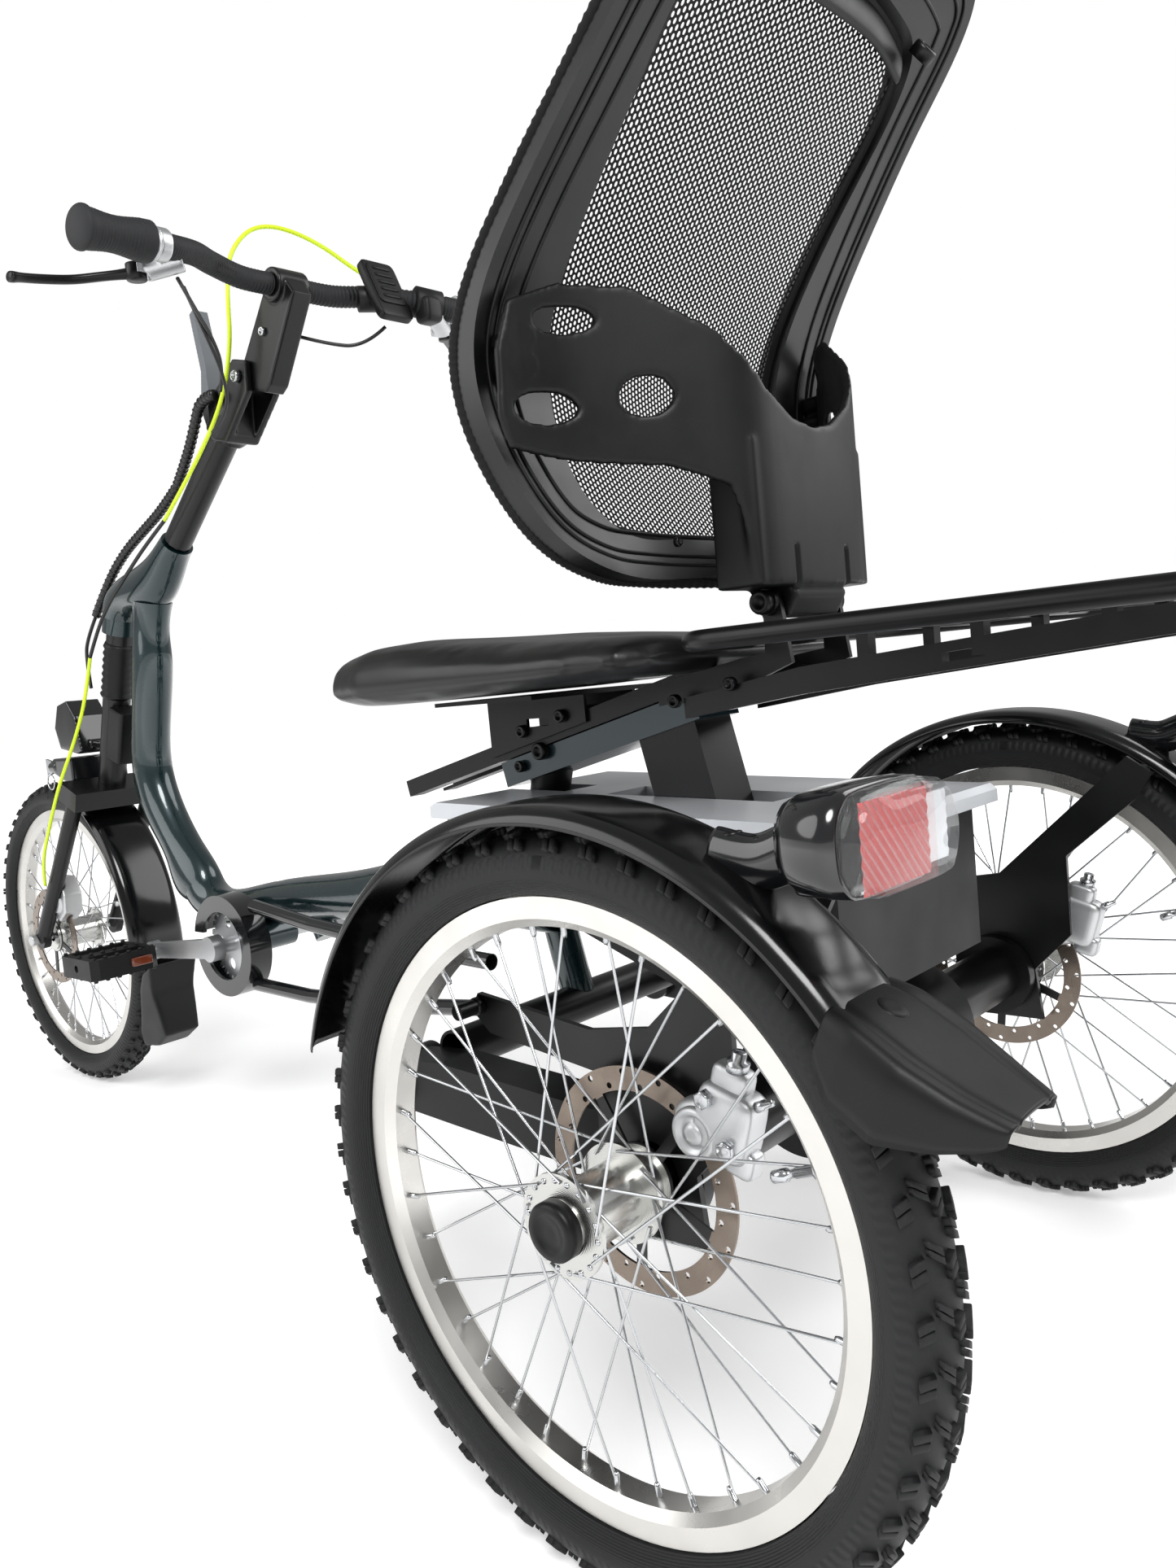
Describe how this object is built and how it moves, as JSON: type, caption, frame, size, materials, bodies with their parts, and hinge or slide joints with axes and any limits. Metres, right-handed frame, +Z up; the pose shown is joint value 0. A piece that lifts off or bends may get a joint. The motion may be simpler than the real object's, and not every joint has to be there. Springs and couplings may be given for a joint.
{
  "type": "adult tricycle",
  "caption": "Adult tricycle with two rear wheels, a low stepped frame, a sliding padded seat with a mesh backrest, upright handlebar, rear rack, battery case and disc brakes.",
  "frame": {"origin": "on the floor, at the centre of the whole part's plan box, midway between the rear wheels", "axes": "+X towards the front wheel, +Y to the rider's left, +Z up"},
  "size_m": [2.128, 0.81, 1.1815],
  "materials": {
    "frame_paint": "gloss metallic petrol paint",
    "black_paint": "satin black powder coat",
    "teal_paint": "satin petrol paint",
    "alloy": "polished and machined alloy",
    "black_alloy": "black anodised alloy",
    "steel": "bright steel",
    "tyre": "knobbed black rubber",
    "grip_rubber": "matte moulded rubber",
    "black_plastic": "grained black plastic",
    "gloss_black": "gloss black plastic",
    "silver_plastic": "silver painted plastic",
    "red_lens": "clear and red lamp plastic",
    "seat_cover": "smooth coated fabric over foam",
    "mesh_cloth": "open knitted mesh",
    "hose": "smooth cable sheath"
  },
  "bodies": {
    "frame": {"head_housing": "frame_paint", "down_tube": "frame_paint", "bottom_tube": "frame_paint", "seat_supports": "frame_paint", "seat_receiver": "teal_paint", "rear_subframe": "black_alloy", "rear_axle": "black_alloy", "battery_case": "black_plastic", "battery_lid": "silver_plastic", "rear_fender_left": "gloss_black", "rear_fender_right": "gloss_black", "fender_stays": "black_paint", "fender_flaps": "black_plastic", "tail_lamps": "red_lens", "rear_calipers": "alloy", "chain_guard": "gloss_black", "frame_cables": "hose"},
    "column": {"steering_column": "black_paint", "column_cables": "hose"},
    "fork_assembly": {"fork": "black_paint", "front_fender": "gloss_black", "front_flap": "black_plastic", "head_lamp": "gloss_black", "ring_lock": "gloss_black", "connector_box": "black_plastic", "front_caliper": "alloy", "fork_cables": "hose"},
    "bars": {"stem": "black_alloy", "handlebar": "black_alloy", "grip_left": "grip_rubber", "brake_mounts": "alloy", "display": "gloss_black", "stem_cables": "hose"},
    "left_lever": {"brake_lever_left": "black_alloy"},
    "right_lever": {"brake_lever_right": "black_alloy"},
    "throttle": {"twist_grip": "grip_rubber"},
    "clamp_lever": {"stem_lever": "black_plastic"},
    "key": {"lock_key": "steel"},
    "cranks": {"crank_set": "alloy"},
    "left_pedal": {"pedal_left": "black_plastic"},
    "right_pedal": {"pedal_right": "black_plastic"},
    "left_wheel": {"left_tyre": "tyre", "left_rim": "alloy", "left_hub": "alloy", "left_spokes": "steel"},
    "right_wheel": {"right_tyre": "tyre", "right_rim": "alloy", "right_hub": "alloy", "right_spokes": "steel"},
    "front_wheel": {"front_tyre": "tyre", "front_rim": "alloy", "front_hub": "alloy", "front_spokes": "steel"},
    "seat": {"seat_rail": "black_alloy", "seat_brackets": "black_alloy", "seat_cushion": "seat_cover", "rear_rack": "black_alloy"},
    "backrest": {"back_frame": "black_plastic", "back_mesh": "mesh_cloth", "back_bracket": "black_plastic"}
  },
  "joints": [
    {"name": "column_turn", "type": "hinge", "parent": "frame", "child": "column", "pos_m": [0.3415, 0, 0.842], "axis": [-0.7947, 0, 0.607], "range_deg": [-35, 35]},
    {"name": "fork_steer", "type": "hinge", "parent": "frame", "child": "fork_assembly", "pos_m": [0.536, 0, 0.735], "axis": [-0.3665, 0, 0.9304], "range_deg": [-35, 35]},
    {"name": "stem_tilt", "type": "hinge", "parent": "column", "child": "bars", "pos_m": [0.11, 0, 1.012], "axis": [0, 1, 0], "range_deg": [-15, 20]},
    {"name": "left_lever_pull", "type": "hinge", "parent": "bars", "child": "left_lever", "pos_m": [-0.016, 0.216, 1.066], "axis": [0, 0, 1], "range_deg": [0, 16], "stiffness_Nm_per_rad": 4, "springref_deg": -8.59},
    {"name": "right_lever_pull", "type": "hinge", "parent": "bars", "child": "right_lever", "pos_m": [-0.016, -0.216, 1.066], "axis": [0, 0, -1], "range_deg": [0, 16], "stiffness_Nm_per_rad": 4, "springref_deg": -8.59},
    {"name": "throttle_turn", "type": "hinge", "parent": "bars", "child": "throttle", "pos_m": [-0.05, -0.192, 1.086], "axis": [0.0921, 0.9951, 0.0369], "range_deg": [-60, 60]},
    {"name": "stem_lever_lift", "type": "hinge", "parent": "column", "child": "clamp_lever", "pos_m": [0.211, 0, 1.004], "axis": [0, 1, 0], "range_deg": [0, 50]},
    {"name": "key_turn", "type": "hinge", "parent": "fork_assembly", "child": "key", "pos_m": [0.738, 0.04, 0.538], "axis": [1, 0, 0], "range_deg": [0, 90]},
    {"name": "crank_spin", "type": "hinge", "parent": "frame", "child": "cranks", "pos_m": [0.225, 0, 0.292], "axis": [0, 1, 0], "continuous": true},
    {"name": "left_pedal_spin", "type": "hinge", "parent": "cranks", "child": "left_pedal", "pos_m": [0.38426, 0.153, 0.27666], "axis": [0, 1, 0], "continuous": true},
    {"name": "right_pedal_spin", "type": "hinge", "parent": "cranks", "child": "right_pedal", "pos_m": [0.06574, -0.153, 0.30734], "axis": [0, 1, 0], "continuous": true},
    {"name": "left_wheel_spin", "type": "hinge", "parent": "frame", "child": "left_wheel", "pos_m": [-0.68, 0.3516, 0.2555], "axis": [0, 1, 0], "continuous": true},
    {"name": "right_wheel_spin", "type": "hinge", "parent": "frame", "child": "right_wheel", "pos_m": [-0.68, -0.3516, 0.2555], "axis": [0, 1, 0], "continuous": true},
    {"name": "front_wheel_spin", "type": "hinge", "parent": "fork_assembly", "child": "front_wheel", "pos_m": [0.8085, 0, 0.2555], "axis": [0, 1, 0], "continuous": true},
    {"name": "seat_slide", "type": "slide", "parent": "frame", "child": "seat", "axis": [0.9736, 0, -0.2284], "range_m": [-0.08, 0.06]},
    {"name": "back_recline", "type": "hinge", "parent": "seat", "child": "backrest", "pos_m": [-0.654, 0, 0.647], "axis": [0, -1, 0], "range_deg": [-10, 15]}
  ],
  "couplings": [
    {"joint": "fork_steer", "follows": "column_turn", "ratio": 1}
  ]
}
